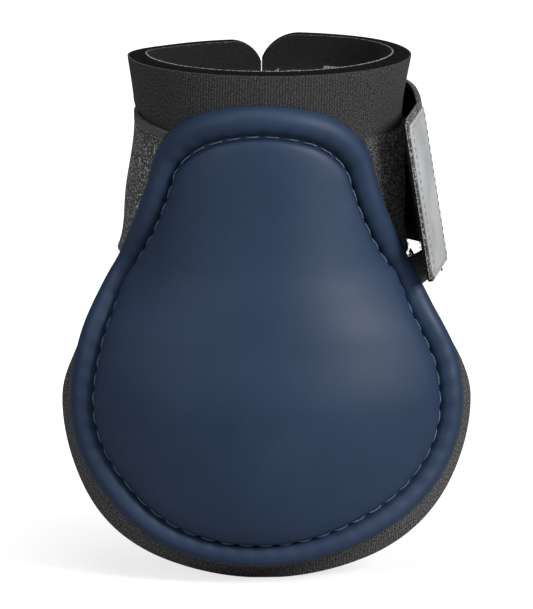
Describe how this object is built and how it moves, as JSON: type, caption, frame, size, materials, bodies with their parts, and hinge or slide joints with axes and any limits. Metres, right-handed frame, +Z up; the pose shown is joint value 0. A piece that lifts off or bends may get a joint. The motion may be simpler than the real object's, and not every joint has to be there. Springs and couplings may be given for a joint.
{
  "type": "horse fetlock boot",
  "caption": "Hind fetlock boot: moulded shell with a rolled, stitched rim on a neoprene liner whose wings close round the leg under a wide hook and loop strap.",
  "frame": {"origin": "on the leg's axis, level with the boot's lowest edge", "axes": "+Z up the leg, the shell faces -Y, and the strap's free end is on the +X side"},
  "size_m": [0.1284, 0.087, 0.1638],
  "materials": {
    "foam": "closed-cell neoprene foam with cut edges",
    "jersey": "fine ribbed knit, heathered black",
    "shell": "smooth matte polyurethane, navy",
    "thread": "twisted thread, light navy",
    "black_thread": "twisted thread, black",
    "strap_fabric": "speckled brushed loop fabric",
    "strap_lining": "smooth black knit",
    "hem": "plain bound hem",
    "hooks": "hook tape, bristly",
    "loops": "fuzzy loop pile",
    "facing": "smooth light grey facing, sewn on"
  },
  "bodies": {
    "boot": {"liner_front_foam": "foam", "liner_front_outer_jersey": "jersey", "liner_front_inner_jersey": "jersey", "shell_base_plate": "shell", "strike_panel": "shell", "rim_roll": "shell", "shell_stitches": "thread", "strap_root": "strap_fabric", "strap_root_hem": "hem", "strap_root_stitches": "black_thread", "loop_patch_front": "loops"},
    "left_wing": {"left_wing_foam": "foam", "left_wing_outer_jersey": "jersey", "left_wing_inner_jersey": "jersey"},
    "right_wing": {"right_wing_foam": "foam", "right_wing_outer_jersey": "jersey", "right_wing_inner_jersey": "jersey", "loop_patch_side": "loops"},
    "strap_back": {"strap_back_outer_ply": "strap_fabric", "strap_back_inner_ply": "strap_lining", "strap_back_hem": "hem"},
    "strap_side": {"strap_side_outer_ply": "strap_fabric", "strap_side_inner_ply": "strap_lining", "strap_side_hem": "hem", "strap_side_hooks": "hooks"},
    "pull_tab": {"tab_outer_ply": "strap_fabric", "tab_inner_ply": "strap_lining", "tab_hooks": "hooks", "tab_facing": "facing", "tab_stitches": "black_thread"}
  },
  "joints": [
    {"name": "strap_swing", "type": "hinge", "parent": "boot", "child": "strap_back", "pos_m": [-0.04554, -0.00671, 0.10188], "axis": [0.0699, 0.0118, 0.9975], "range_deg": [0, 70]},
    {"name": "strap_peel", "type": "hinge", "parent": "strap_back", "child": "strap_side", "pos_m": [0.04727, 0.02355, 0.10198], "axis": [-0.1057, -0.0297, 0.994], "range_deg": [0, 110]},
    {"name": "tab_lift", "type": "hinge", "parent": "strap_side", "child": "pull_tab", "pos_m": [0.05878, 0.00038, 0.09612], "axis": [-0.1535, 0, 0.9881], "range_deg": [0, 60]},
    {"name": "left_wing_open", "type": "hinge", "parent": "boot", "child": "left_wing", "pos_m": [-0.04554, -0.00671, 0.10188], "axis": [0.0699, 0.0118, 0.9975], "range_deg": [0, 50]},
    {"name": "right_wing_open", "type": "hinge", "parent": "boot", "child": "right_wing", "pos_m": [0.04629, -0.0062, 0.14527], "axis": [0.0202, -0.012, -0.9997], "range_deg": [0, 45]}
  ],
  "couplings": [
    {"joint": "strap_peel", "follows": "strap_swing", "ratio": 1.5},
    {"joint": "left_wing_open", "follows": "strap_swing", "ratio": 0.7},
    {"joint": "right_wing_open", "follows": "strap_swing", "ratio": 0.6}
  ]
}
